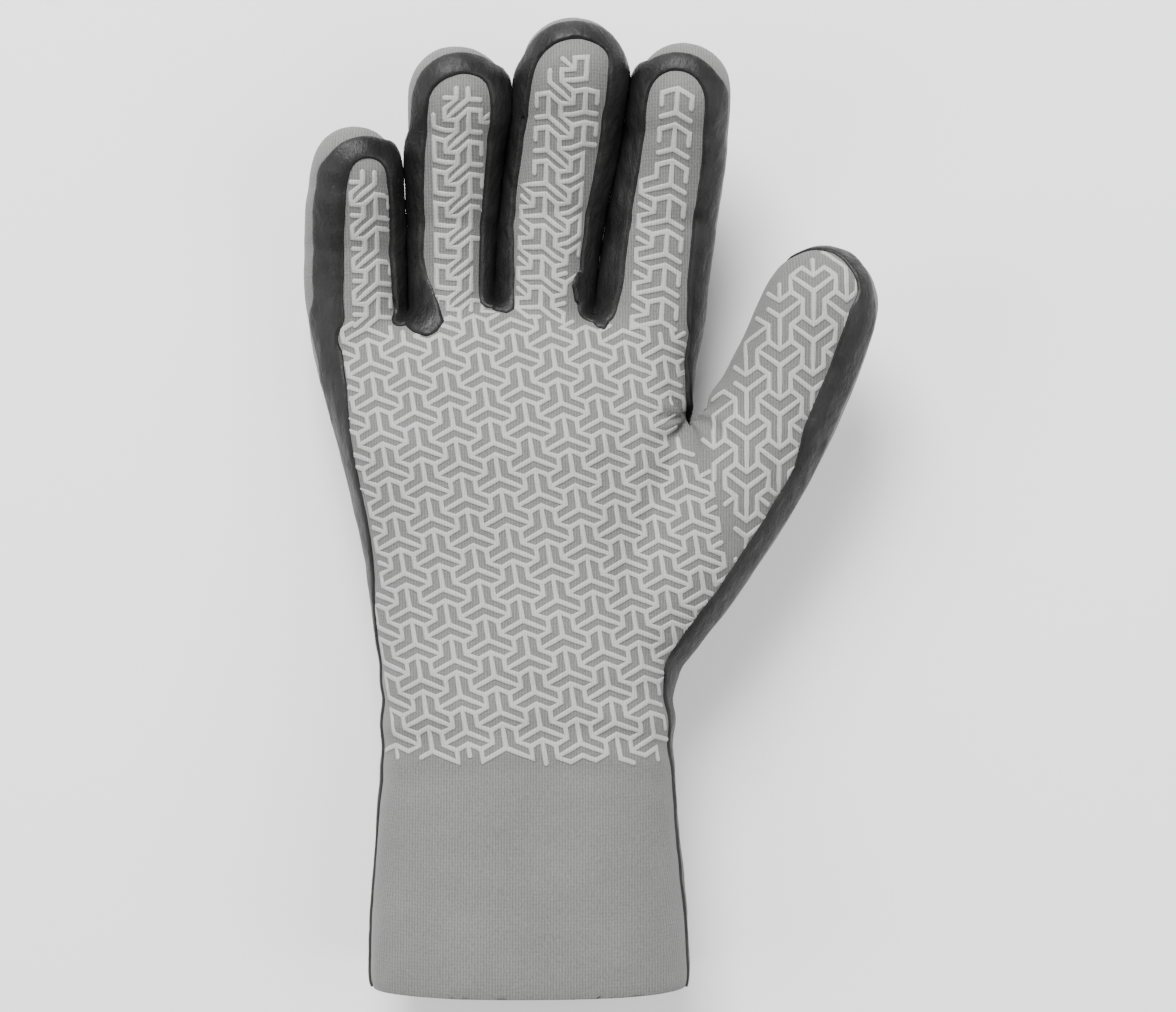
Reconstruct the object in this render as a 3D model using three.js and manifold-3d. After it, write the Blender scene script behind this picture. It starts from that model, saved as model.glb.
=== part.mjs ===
// Five-finger diving glove for the right hand, lying on its back with the palm up.
// Millimetres. +X towards the thumb, +Y towards the finger tips, +Z up, out of the palm.
// The glove is a hollow wall of foam rubber: a one-piece palm with a narrow tongue up each finger, a back
// that wraps round the outer fingers, two separate finger backs, and rubber tapes over the seams.
import * as THREE from "three";
import { mergeVertices } from "three/addons/utils/BufferGeometryUtils.js";
import Module from "manifold-3d";

const wasm = await Module();
wasm.setup();

// Driving dimensions
const wall = 3; // foam rubber with fabric on both faces
const seamGap = 0.3; // between two pieces that meet at a seam, and under a tape
const tapeThickness = 0.6;
const fingerTapeWidth = 9.2;
const edgeTapeWidth = 9.8; // on the two long edges of the hand
const fingerGap = 2.3; // bare air between the fabric of two neighbouring fingers

const cuffLength = 72; // from the wrist to the open end
const cuffWidth = 88;
const cuffDepth = 54;
const wristWidth = 80;
const wristDepth = 48;
const palmLength = 116; // from the wrist to the fork beside the middle finger
const palmDepth = 44;
const knuckleDepth = 34;
const restFlat = 1.6; // how much of the round back is pressed flat where it rests
const forkPull = 3.6; // how far the outer forks sit behind the middle one, as the knuckles make an arc
const pinkySideX = -62.9; // the little finger's outer side, from the middle of the wrist
const fingerRootZ = 18; // height of the finger roots' middle

// One row a finger, from the little finger to the index. length is root to tip, lean how far the tip leans
// towards the thumb, and curl how far it rises.
const fingers = [
  { name: "pinky", length: 68.8, width: 28.5, depth: 25, lean: 1.4, curl: 16 },
  { name: "ring", length: 90, width: 28.8, depth: 26, lean: 2.4, curl: 21 },
  { name: "middle", length: 97.2, width: 30, depth: 27, lean: 8, curl: 23 },
  { name: "index", length: 91, width: 30.6, depth: 26.5, lean: 7.9, curl: 20 },
];
// Their palm tongues in degrees: roll is how far they turn towards the thumb at the root, twist how much
// that changes up to the tip, and seamHalf half of what they span round the finger.
const tongues = {
  pinky: { roll: 21, twist: 4, seamHalf: 50 },
  ring: { roll: 5, twist: 8, seamHalf: 57 },
  middle: { roll: 4, twist: 3, seamHalf: 61 },
  index: { roll: 3, twist: -13, seamHalf: 60 },
};
// How every finger runs from its root to where its round tip starts, at places that are equally far apart:
// shares of the finger's own lean and curl.
const fingerRun = [
  { pinkyLean: 0, ringLean: 0, middleLean: 0, indexLean: 0, rise: 0 },
  { pinkyLean: 0, ringLean: 0, middleLean: 0, indexLean: 0, rise: 0.03 },
  { pinkyLean: 0.02, ringLean: 0.03, middleLean: 0.16, indexLean: 0.27, rise: 0.17 },
  { pinkyLean: 0.1, ringLean: 0.3, middleLean: 0.62, indexLean: 0.75, rise: 0.5 },
  { pinkyLean: 1, ringLean: 1, middleLean: 1, indexLean: 0.97, rise: 1 },
];
// Width at those places as a share of the finger's own
const fingerSwell = {
  pinky: [0.98, 1, 1, 0.98, 0.87],
  ring: [0.757, 0.757, 0.78, 0.875, 0.98],
  middle: [0.847, 0.847, 0.905, 0.98, 0.98],
  index: [0.98, 0.995, 1, 0.97, 0.89],
};
const rootSpread = 0.85; // the roots inside the hand lie closer to the middle than at the forks

const thumbWidth = 34.6;
const thumbDepth = 31;
const thumbReachX = 61; // from the thumb's root to where its round tip starts, sideways
const thumbReachY = 101.6; // and along the hand
const thumbRise = 15;
const thumbRoot = { x: 20, y: 14, z: 21 };
const thumbRoll = -31; // the palm side of the thumb faces the index finger
const thumbSeamHalf = 86;
// The thumb from its root in the heel of the hand: shares of its reach, rise, width and depth.
const thumbRun = [
  { across: 0, along: 0, rise: 0, wide: 0.98, deep: 1.08 },
  { across: 0.19, along: 0.157, rise: 0.08, wide: 1.07, deep: 1.14 },
  { across: 0.43, along: 0.354, rise: 0.2, wide: 1.1, deep: 1.14 },
  { across: 0.64, along: 0.55, rise: 0.36, wide: 1.07, deep: 1.08 },
  { across: 0.784, along: 0.697, rise: 0.52, wide: 1.04, deep: 1.02 },
  { across: 0.897, along: 0.845, rise: 0.73, wide: 1.0, deep: 0.98 },
  { across: 1, along: 1, rise: 1, wide: 0.925, deep: 0.94 },
];

// How finely the solids are faceted
const fingerSides = 14;
const handSides = 28;
const fingerSteps = 5;
const thumbSteps = 7;
const tipAngles = [26, 52, 72];

const up = new THREE.Vector3(0, 0, 1);
const radians = THREE.MathUtils.degToRad;

// Places that follow from the sizes
const rootWidth = (f) => f.width * fingerSwell[f.name][1];
const knuckleWidth = fingers.reduce((sum, f) => sum + rootWidth(f) + fingerGap, -fingerGap);
const thumbSideX = pinkySideX + knuckleWidth;
let reached = pinkySideX;
for (const f of fingers) {
  f.rootX = reached + rootWidth(f) / 2;
  reached += rootWidth(f) + fingerGap;
}
const rootY = palmLength - 20; // the finger tubes start this far inside the hand
// Forks between neighbouring fingers, the little finger's first
const forks = fingers.slice(1).map((f, i) => ({
  x: f.rootX - (rootWidth(f) + fingerGap) / 2,
  y: palmLength - (i === 1 ? 0 : forkPull),
}));

// The hand from the open end to the forks: the two sides, the lowest and the highest point of each section
const handRun = [
  { y: -cuffLength, left: -cuffWidth / 2, right: cuffWidth / 2, low: 0, high: cuffDepth },
  { y: -cuffLength * 0.55, left: -cuffWidth * 0.48, right: cuffWidth * 0.485, low: 0, high: cuffDepth * 0.96 },
  { y: -cuffLength * 0.14, left: -wristWidth / 2, right: wristWidth / 2, low: 0, high: wristDepth * 1.02 },
  { y: palmLength * 0.1, left: -wristWidth * 0.505, right: wristWidth / 2, low: 0, high: wristDepth * 0.99 },
  { y: palmLength * 0.38, left: pinkySideX * 0.71, right: thumbSideX * 0.82, low: 0, high: palmDepth },
  { y: palmLength * 0.66, left: pinkySideX * 0.836, right: thumbSideX * 0.86, low: 0, high: palmDepth },
  { y: palmLength * 0.85, left: pinkySideX * 0.935, right: thumbSideX * 0.9, low: 0, high: palmDepth * 0.88 },
  { y: palmLength * 0.95, left: pinkySideX * 0.98, right: thumbSideX * 0.935, low: 2.2, high: knuckleDepth },
  { y: palmLength, left: pinkySideX * 0.965, right: thumbSideX * 0.94, low: 5.5, high: knuckleDepth * 0.86 },
];
// Height of the seam on the two long edges of the hand, at some places along it
const seamRun = [
  { y: -cuffLength - 10, pinkySide: cuffDepth * 0.5, thumbSide: cuffDepth * 0.5 },
  { y: -cuffLength * 0.2, pinkySide: wristDepth * 0.5, thumbSide: wristDepth * 0.53 },
  { y: palmLength * 0.08, pinkySide: wristDepth * 0.49, thumbSide: wristDepth * 0.62 },
  { y: palmLength * 0.22, pinkySide: palmDepth * 0.53, thumbSide: palmDepth * 0.74 },
  { y: palmLength * 0.66, pinkySide: palmDepth * 0.57, thumbSide: palmDepth * 0.48 },
  { y: palmLength * 0.83, pinkySide: palmDepth * 0.6, thumbSide: palmDepth * 0.49 },
  { y: palmLength * 0.99, pinkySide: palmDepth * 0.62, thumbSide: palmDepth * 0.56 },
];

// Solids from rings of points. Every ring has as many points as the next, and the ends are closed flat.
function solidFromRings(rings) {
  const sides = rings[0].length;
  const points = rings.flat();
  const faces = [];
  for (let r = 0; r + 1 < rings.length; r++) {
    for (let i = 0; i < sides; i++) {
      const a = r * sides + i;
      const b = r * sides + ((i + 1) % sides);
      faces.push([a, b, b + sides], [a, b + sides, a + sides]);
    }
  }
  for (const [r, turn] of [[0, 1], [rings.length - 1, 0]]) {
    const centre = rings[r].reduce((s, p) => s.add(p), new THREE.Vector3()).divideScalar(sides);
    const c = points.push(centre) - 1;
    for (let i = 0; i < sides; i++) {
      const a = r * sides + i;
      const b = r * sides + ((i + 1) % sides);
      faces.push(turn ? [c, b, a] : [c, a, b]);
    }
  }
  return solidFrom(points.flatMap((p) => p.toArray()), faces.flat());
}

function solidFrom(positions, index) {
  const open = new THREE.BufferGeometry();
  open.setAttribute("position", new THREE.Float32BufferAttribute(positions, 3));
  open.setIndex(index);
  const merged = mergeVertices(open, 1e-4);
  const mesh = { numProp: 3, vertProperties: merged.attributes.position.array };
  const made = new wasm.Manifold(new wasm.Mesh({ ...mesh, triVerts: new Uint32Array(merged.index.array) }));
  if (made.volume() > 0) return made;
  const turned = new Uint32Array(merged.index.array).reverse();
  return new wasm.Manifold(new wasm.Mesh({ ...mesh, triVerts: turned }));
}

// A flat outline of [x, y] points made into an upright block
function block(outline, low, high) {
  const shape = new THREE.Shape(outline.map(([x, y]) => new THREE.Vector2(x, y)));
  const geometry = new THREE.ExtrudeGeometry(shape, { depth: high - low, bevelEnabled: false, steps: 1 });
  geometry.translate(0, 0, low);
  geometry.deleteAttribute("normal");
  geometry.deleteAttribute("uv");
  const merged = mergeVertices(geometry, 1e-4);
  return solidFrom(merged.attributes.position.array, Array.from(merged.index.array));
}

const joined = (solids) => solids.reduce((a, b) => a.add(b));

// A value between the rows of a table, by its y column
function between(rows, y, column) {
  const last = rows.length - 1;
  if (y <= rows[0].y) return rows[0][column];
  if (y >= rows[last].y) return rows[last][column];
  const i = rows.findIndex((row) => row.y > y);
  const share = (y - rows[i - 1].y) / (rows[i].y - rows[i - 1].y);
  return THREE.MathUtils.lerp(rows[i - 1][column], rows[i][column], share);
}

// Centre line, half width and half depth of a finger at each of its places
function fingerStations(f) {
  const last = fingerRun.length - 1;
  const tipReach = (f.width * fingerSwell[f.name][last] + f.depth * 0.94) / 4;
  return fingerRun.map((run, i) => ({
    at: new THREE.Vector3(
      f.rootX * (i ? 1 : rootSpread) + f.lean * run[`${f.name}Lean`],
      rootY + ((f.length - tipReach) * i) / last,
      fingerRootZ + f.curl * run.rise,
    ),
    half: (f.width * fingerSwell[f.name][i]) / 2,
    deep: (f.depth * (1 - (0.06 * i) / last)) / 2,
    roll: tongues[f.name].roll + (tongues[f.name].twist * i) / last,
  }));
}

function thumbStations() {
  return thumbRun.map((run) => ({
    at: new THREE.Vector3(
      thumbRoot.x + thumbReachX * run.across,
      thumbRoot.y + thumbReachY * run.along,
      thumbRoot.z + thumbRise * run.rise,
    ),
    half: (thumbWidth * run.wide) / 2,
    deep: (thumbDepth * run.deep) / 2,
    roll: thumbRoll,
  }));
}

// Sections along a digit, on a smooth curve through its places
function digitSections(stations, steps) {
  const curve = new THREE.CatmullRomCurve3(stations.map((s) => s.at));
  return Array.from({ length: steps + 1 }, (_, k) => {
    const t = k / steps;
    const place = t * (stations.length - 1);
    const low = Math.min(Math.floor(place), stations.length - 2);
    const mixed = (key) => THREE.MathUtils.lerp(stations[low][key], stations[low + 1][key], place - low);
    const along = curve.getTangent(t).normalize();
    const across = new THREE.Vector3().crossVectors(along, up).normalize();
    return {
      at: curve.getPoint(t),
      along,
      across,
      above: new THREE.Vector3().crossVectors(across, along),
      half: mixed("half"),
      deep: mixed("deep"),
      roll: mixed("roll"),
    };
  });
}

// A point of a section, by its angle from the top towards the thumb side
function onSection(s, angle, half, deep, forward = 0) {
  return s.at
    .clone()
    .addScaledVector(s.along, forward)
    .addScaledVector(s.across, half * Math.sin(angle))
    .addScaledVector(s.above, deep * Math.cos(angle));
}

// The digit's outer form grown by an offset, with a round tip
function digitTube(sections, offset) {
  const turn = (2 * Math.PI) / fingerSides;
  const ring = (s, half, deep, forward) =>
    Array.from({ length: fingerSides }, (_, i) => onSection(s, (i + 0.5) * turn, half, deep, forward));
  const rings = sections.map((s) => ring(s, s.half + offset, s.deep + offset, 0));
  const end = sections[sections.length - 1];
  const reach = (end.half + end.deep) / 2 + offset;
  for (const degrees of tipAngles) {
    const share = Math.cos(radians(degrees));
    const forward = reach * Math.sin(radians(degrees));
    rings.push(ring(end, (end.half + offset) * share, (end.deep + offset) * share, forward));
  }
  rings.push(ring(end, 0.4, 0.4, reach));
  return solidFromRings(rings);
}

// The space above the seam of a digit, which lies lower by drop. It reaches past the surface by margin.
function aboveSeam(digit, drop, margin) {
  const { sections, seamHalf } = digit;
  const start = sections[0];
  const end = sections[sections.length - 1];
  const moved = (s, distance) => ({ ...s, at: s.at.clone().addScaledVector(s.along, distance) });
  const points = 11;
  return solidFromRings(
    [moved(start, -drop), ...sections.slice(1), moved(end, end.half + margin + 2)].map((s) => {
      const mean = (s.half + s.deep) / 2;
      const height = mean * Math.cos(radians(seamHalf) + drop / mean); // of the seam over the centre
      const span = Math.acos(height / (mean + margin));
      const angle = (i) => radians(s.roll) + span * ((2 * i) / (points - 1) - 1);
      return Array.from({ length: points }, (_, i) => onSection(s, angle(i), s.half + margin, s.deep + margin));
    }),
  );
}

// The hand without its digits, grown by an offset
function handBody(offset, openEnd) {
  const turn = (2 * Math.PI) / handSides;
  const squareness = 0.82; // 1 is an ellipse
  const rounded = (v) => Math.sign(v) * Math.abs(v) ** squareness;
  const rows = handRun.map((row) => ({ ...row }));
  rows[rows.length - 1].y += offset;
  if (openEnd) rows.unshift({ ...rows[0], y: rows[0].y - openEnd });
  const knuckleShare = (y) => THREE.MathUtils.smoothstep(y, palmLength * 0.66, palmLength);
  return solidFromRings(
    rows.map((row) => {
      const middle = (row.left + row.right) / 2;
      const half = (row.right - row.left) / 2;
      const centreZ = (row.low + row.high - restFlat) / 2;
      const deep = (row.high - row.low + restFlat) / 2;
      return Array.from({ length: handSides }, (_, i) => {
        const angle = (i + 0.5) * turn;
        const x = middle + (half + offset) * rounded(Math.sin(angle));
        const z = centreZ + (deep + offset) * rounded(Math.cos(angle));
        const sideways = (x - forks[1].x) / (forks[0].x - forks[1].x);
        const pull = forkPull * Math.min(sideways * sideways, 1.6) * knuckleShare(row.y);
        return new THREE.Vector3(x, row.y - pull, Math.max(z, row.low - offset));
      });
    }),
  );
}

// The whole outside of the glove grown by an offset
const digits = [
  ...fingers.map((f) => ({
    seamHalf: tongues[f.name].seamHalf,
    sections: digitSections(fingerStations(f), fingerSteps),
  })),
  { seamHalf: thumbSeamHalf, sections: digitSections(thumbStations(), thumbSteps) },
];
const thumb = digits[digits.length - 1];
const glove = (offset, openEnd = 0) =>
  joined([handBody(offset, openEnd), ...digits.map((d) => digitTube(d.sections, offset))]);

// What lies above the seams of the hand itself, between the cuff and the forks
const far = 120;
const thenarY = seamRun[3].y; // where the thumb's own seam takes over from the hand's
function handAboveSeam(drop) {
  const section = (y, right) => {
    const low = between(seamRun, y, "pinkySide") - drop;
    const lowRight = between(seamRun, y, "thumbSide") - drop;
    return [[-far, low], [-20, low], [20, lowRight], [right, lowRight], [right, far], [-far, far]].map(
      ([x, z]) => new THREE.Vector3(x, y, z),
    );
  };
  const lower = seamRun.filter((row) => row.y <= thenarY).map((row) => section(row.y, far));
  const upperY = [thenarY - 1, ...[0.38, 0.66, 0.83, 0.99, 1.08].map((share) => palmLength * share)];
  const upper = upperY.map((y) => section(y, between(handRun, y, "right") + 1.2 + drop));
  return solidFromRings(lower).add(solidFromRings(upper).intersect(forkOutline(0.6 + drop)));
}
// The hand seen from above, ending at a line through the forks that is moved by an amount
function forkOutline(move) {
  const side = palmLength - forkPull - 3 + move;
  const line = forks.flatMap(({ x, y }) => [
    [x - 7, y - 1 + move],
    [x, y + move],
    [x + 7, y - 1 + move],
  ]);
  return block([[-far, -far], [-far, side], ...line, [far, side], [far, -far]], -20, far);
}

const outer = glove(0);
const inner = glove(-wall, wall * 2);
const shell = outer.subtract(inner);

const palmSide = (drop) =>
  joined([handAboveSeam(drop), ...digits.map((d) => aboveSeam(d, drop, 1 + drop))]);

const knuckleSeamY = palmLength - 5.6;
// The line down the gap on the little finger's side of finger k, as [x, y] points from the forks to the tips
function gapLine(k) {
  const near = digits[k - 1].sections;
  const next = digits[k].sections;
  const sideX = (sections, y, sign) => {
    const i = sections.findIndex((s) => s.at.y > y);
    const s = sections[i < 0 ? sections.length - 1 : Math.max(i, 0)];
    const before = sections[Math.max((i < 0 ? sections.length : i) - 1, 0)];
    const share = s === before ? 0 : THREE.MathUtils.clamp((y - before.at.y) / (s.at.y - before.at.y), 0, 1);
    const x = THREE.MathUtils.lerp(before.at.x, s.at.x, share);
    return x + sign * THREE.MathUtils.lerp(before.half, s.half, share);
  };
  const top = rootY + Math.min(fingers[k - 1].length, fingers[k].length) * 0.88;
  const count = 6;
  const line = Array.from({ length: count }, (_, i) => {
    const y = THREE.MathUtils.lerp(knuckleSeamY - 2, top, i / (count - 1));
    return [(sideX(near, y, 1) + sideX(next, y, -1)) / 2, y];
  });
  line.push([line[count - 1][0], far * 2]);
  return line;
}

// The part of the back beyond the knuckle seam that belongs to one of the two middle fingers
function fingerBackRegion(k, inset) {
  const left = gapLine(k).map(([x, y]) => [x + inset, y]);
  const right = gapLine(k + 1).map(([x, y]) => [x - inset, y]);
  const low = knuckleSeamY + inset;
  const from = (line) => [[line[0][0], low], ...line.filter(([, y]) => y > low)];
  return block([...from(left), ...from(right).reverse()].reverse(), -20, far);
}

const palm = shell.intersect(palmSide(0));
const wholeBack = shell.subtract(palmSide(seamGap));
const ringBack = wholeBack.intersect(fingerBackRegion(1, seamGap / 2));
const middleBack = wholeBack.intersect(fingerBackRegion(2, seamGap / 2));
const back = wholeBack
  .subtract(fingerBackRegion(1, -seamGap / 2))
  .subtract(fingerBackRegion(2, -seamGap / 2));

// Tapes lie on the outside in a thin layer over the seams
const tapeLayer = glove(seamGap + tapeThickness).subtract(glove(seamGap));
const tapeMargin = seamGap + tapeThickness + 0.5;
const digitBand = (d) =>
  aboveSeam(d, fingerTapeWidth / 2, tapeMargin).subtract(aboveSeam(d, -fingerTapeWidth / 2, tapeMargin + 1));

// A band on one long edge of the hand, between two places along it
function edgeBand(column, sign, fromY, toY, width, toX = far) {
  const steps = 8;
  return solidFromRings(
    Array.from({ length: steps + 1 }, (_, i) => {
      const y = THREE.MathUtils.lerp(fromY, toY, i / steps);
      const z = between(seamRun, y, column);
      return [[20, -1], [toX, -1], [toX, 1], [20, 1]].map(
        ([x, side]) => new THREE.Vector3(sign * x, y, z + (side * width) / 2),
      );
    }),
  );
}

// The web of a fork, wrapped by the tape that comes down one finger and goes up the next
const forkPatch = ({ x, y }) =>
  block(
    [
      [x - 6.5, y + 4], [x - 6.5, y - 1.5], [x - 4, y - 4.8],
      [x + 4, y - 4.8], [x + 6.5, y - 1.5], [x + 6.5, y + 4],
    ],
    fingerRootZ + 1,
    far,
  );

// The web between the index finger and the thumb, round which the tape runs from one to the other
const webY = palmLength * 0.76;
const webZ = between(seamRun, webY, "thumbSide");
const webPatch = block(
  [
    [thumbSideX - 14, webY + 7], [thumbSideX - 14, webY - 18],
    [thumbSideX - 3, webY - 18], [thumbSideX, webY + 7],
  ],
  webZ - edgeTapeWidth * 0.55,
  webZ + edgeTapeWidth * 0.4,
);

const beyond = (y) => block([[-far, y], [far, y], [far, far * 3], [-far, far * 3]], -20, far);
const fingerBands = joined(digits.slice(0, -1).map(digitBand)).intersect(beyond(palmLength - forkPull - 5));
const seamTape = tapeLayer.intersect(
  joined([
    fingerBands,
    digitBand(thumb).intersect(beyond(thenarY - 3)),
    edgeBand("pinkySide", -1, -cuffLength, palmLength * 0.97, edgeTapeWidth),
    edgeBand("thumbSide", 1, -cuffLength, thenarY + 2, edgeTapeWidth),
    edgeBand("thumbSide", 1, palmLength * 0.7, palmLength * 0.97, edgeTapeWidth * 0.8, thumbSideX + 3),
    webPatch,
    ...forks.map(forkPatch),
  ]),
);

// The tape over the knuckle seam on the back: shares of the way from the little finger's fork to the index
// finger's, with its two edges' distances from the seam.
const knuckleTapeRun = [
  { across: -0.175, behind: 1.2, ahead: 0.6 },
  { across: -0.13, behind: 4.3, ahead: 4 },
  { across: 0, behind: 5, ahead: 5 },
  { across: 0.5, behind: 4.2, ahead: 4.8 },
  { across: 0.8, behind: 2.4, ahead: 6.5 },
  { across: 0.93, behind: 0.4, ahead: 11 },
  { across: 1.01, behind: -4, ahead: 15 },
];
const acrossForks = (share) => THREE.MathUtils.lerp(forks[0].x, forks[2].x, share);
const knuckleOutline = [
  ...knuckleTapeRun.map((row) => [acrossForks(row.across), knuckleSeamY - row.behind]),
  ...knuckleTapeRun.map((row) => [acrossForks(row.across), knuckleSeamY + row.ahead]).reverse(),
];
const knuckleTape = tapeLayer.intersect(block(knuckleOutline, -20, fingerRootZ - 1));

// Scene graph
function meshOf(solid, name, color, roughness) {
  const made = solid.getMesh();
  const geometry = new THREE.BufferGeometry();
  geometry.setAttribute("position", new THREE.BufferAttribute(new Float32Array(made.vertProperties), 3));
  geometry.setIndex(new THREE.BufferAttribute(new Uint32Array(made.triVerts), 1));
  geometry.computeVertexNormals();
  const mesh = new THREE.Mesh(geometry, new THREE.MeshStandardMaterial({ color, roughness, metalness: 0 }));
  mesh.name = name;
  return mesh;
}
// The body with the most volume, as a cut can leave a crumb beside it
const main = (solid) => solid.decompose().reduce((a, b) => (a.volume() > b.volume() ? a : b));

const fabric = "#a3a3a1";
const rubber = "#2c2b29";
const group = new THREE.Group();
group.add(
  meshOf(main(palm), "palm_panel", fabric, 0.85),
  meshOf(main(back), "back_panel", fabric, 0.85),
  meshOf(main(ringBack), "ring_finger_back", fabric, 0.85),
  meshOf(main(middleBack), "middle_finger_back", fabric, 0.85),
  meshOf(main(seamTape), "seam_tape", rubber, 0.5),
  meshOf(main(knuckleTape), "knuckle_tape", rubber, 0.5),
);

// The origin is under the middle of the glove, on the surface where it lies
const box = new THREE.Box3().setFromObject(group, true);
group.position.set(-(box.min.x + box.max.x) / 2, -(box.min.y + box.max.y) / 2, -box.min.z);

export default group;
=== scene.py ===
import math

import bpy
import numpy as np
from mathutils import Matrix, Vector, noise
from mathutils.bvhtree import BVHTree


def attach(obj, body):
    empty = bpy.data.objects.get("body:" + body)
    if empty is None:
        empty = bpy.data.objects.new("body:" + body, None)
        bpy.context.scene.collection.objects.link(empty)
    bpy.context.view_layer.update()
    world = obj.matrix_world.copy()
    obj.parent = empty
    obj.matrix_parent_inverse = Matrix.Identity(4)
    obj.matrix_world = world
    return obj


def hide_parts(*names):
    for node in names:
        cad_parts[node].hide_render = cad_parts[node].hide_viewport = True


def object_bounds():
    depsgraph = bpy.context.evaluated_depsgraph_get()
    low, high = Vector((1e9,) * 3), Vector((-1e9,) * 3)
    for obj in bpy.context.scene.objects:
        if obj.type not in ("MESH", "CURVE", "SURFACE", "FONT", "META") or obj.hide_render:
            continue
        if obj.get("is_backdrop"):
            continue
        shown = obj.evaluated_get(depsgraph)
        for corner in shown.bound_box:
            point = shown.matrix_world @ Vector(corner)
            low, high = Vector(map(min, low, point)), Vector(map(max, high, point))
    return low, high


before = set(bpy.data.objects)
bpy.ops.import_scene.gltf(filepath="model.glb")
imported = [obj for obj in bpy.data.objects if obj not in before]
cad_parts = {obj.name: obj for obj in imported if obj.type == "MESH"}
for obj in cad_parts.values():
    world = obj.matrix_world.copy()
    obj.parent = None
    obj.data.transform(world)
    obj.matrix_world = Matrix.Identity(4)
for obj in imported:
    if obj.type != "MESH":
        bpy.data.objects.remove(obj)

cad_box = [list(corner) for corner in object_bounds()]

# Everything is worked out in millimetres and scaled when a piece is made.
MM = 0.001
FABRIC_PANELS = ["palm_panel", "back_panel", "ring_finger_back", "middle_finger_back"]
FINE_VOXEL = 0.8
SKIN_VOXEL = 1.0
WALL = 3.0
SEAM_PUSH = 0.3
TAPE_HALF = 4.6
TAPE_RISE = 0.75
mouth_y = cad_box[0][1] / MM
# The tape's outline in each fork seen from above, in mm: down one finger and up the next
FORKS = [
    [(-53.6, 79.6), (-51.8, 59.6), (-50.8, 49.8), (-48.6, 47.7), (-44.4, 46.0), (-41.8, 47.2), (-39.7, 50.4),
     (-41.4, 56.0), (-44.2, 62.6), (-46.0, 71.6)],
    [(-29.2, 79.6), (-28.6, 61.6), (-27.8, 55.6), (-26.2, 53.4), (-22.2, 52.6), (-20.4, 54.0), (-20.4, 61.6),
     (-20.6, 79.6)],
    [(0.6, 76.0), (-1.0, 65.6), (-3.6, 63.8), (-4.6, 60.4), (-3.8, 56.4), (-1.2, 53.4), (2.4, 48.8),
     (4.8, 48.4), (6.3, 51.6), (7.2, 59.6), (8.8, 73.6)],
]
# The print: where one three-armed figure's middle lies, and the steps to the next one up and to the right
PRINTS = {
    "palm": {"middle": (-8.94, 37.17), "up": (-1.6, 9.6), "right": (10.8, -4.2)},
    "back": {"middle": (-20.54, 27.91), "up": (1.2, 10.2), "right": (11.4, -7.0)},
    "thumb": {"middle": (51.7, 37.5), "up": (0.0, 13.2), "right": (8.8, -6.6)},
    "pinky": {"middle": (-58.0, 75.0), "up": (0.0, 8.8), "right": (9.5, -4.4)},
    "ring": {"middle": (-32.3, 81.6), "up": (0.0, 8.4), "right": (9.4, -4.2)},
    "middle": {"middle": (-11.6, 86.0), "up": (0.4, 8.2), "right": (9.4, -4.1)},
    "index": {"middle": (22.4, 87.2), "up": (0.6, 9.2), "right": (11.6, -6.6)},
}
PRINT_HALF = 0.74
PRINT_HEIGHT = 0.34
PRINT_END_Y = -70
FEWEST_BARS = 5
# Bare fabric beside the tape on each tongue: on its left, on its right and at its tip, in mm
BARE = {
    "pinky": (3.0, 0.0, 0.8),
    "ring": (1.6, -1.6, 2.2),
    "middle": (1.5, 1.0, 3.6),
    "index": (1.0, 1.0, 1.4),
}

# Centre lines of the digits from root to tip, in mm: x, y, z, the mean radius, and in degrees how far the
# palm's tongue is turned towards the thumb
AXES = {
    "pinky": [
        (-58.2, 35.6, 18.0, 13.2, 21), (-64.5, 46.9, 18.3, 13.3, 22), (-65.8, 58.3, 19.5, 13.2, 23),
        (-65.4, 69.7, 22.5, 13.1, 23), (-65.1, 81.0, 27.4, 12.8, 24), (-64.1, 92.3, 34.0, 12.1, 25)],
    "ring": [
        (-34.8, 35.6, 18.0, 12.0, 5), (-37.6, 51.0, 18.4, 11.9, 7), (-38.2, 66.4, 20.0, 11.9, 8),
        (-37.8, 81.8, 23.9, 12.2, 10), (-37.0, 97.1, 30.4, 12.6, 11), (-35.6, 112.4, 39.0, 13.1, 13)],
    "middle": [
        (-12.8, 35.6, 18.0, 13.1, 4), (-12.3, 52.3, 18.4, 13.0, 5), (-11.5, 69.1, 20.2, 13.2, 5),
        (-9.5, 85.8, 24.5, 13.5, 6), (-6.5, 102.5, 31.6, 13.8, 6), (-4.1, 119.1, 41.0, 13.7, 7)],
    "index": [
        (12.9, 35.6, 18.0, 14.1, 3), (17.3, 51.2, 18.3, 14.1, 0), (19.4, 66.8, 19.9, 14.1, -2),
        (21.8, 82.5, 23.6, 13.9, -5), (24.5, 98.0, 29.8, 13.6, -7), (25.8, 113.6, 38.0, 13.0, -10)],
    "thumb": [
        (3.2, -46.4, 21.0, 16.9, -31), (25.3, -16.2, 23.4, 18.3, -31), (37.0, 1.1, 25.3, 17.9, -31),
        (46.2, 16.0, 27.4, 17.3, -31), (53.1, 28.7, 29.6, 16.7, -31), (58.9, 41.7, 32.5, 16.1, -31),
        (64.2, 55.2, 36.0, 15.3, -31)],
}
# Half of what each tongue spans round its digit up to the seam, in degrees
SEAM_HALF = {"pinky": 50, "ring": 57, "middle": 61, "index": 60, "thumb": 86}
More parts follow.
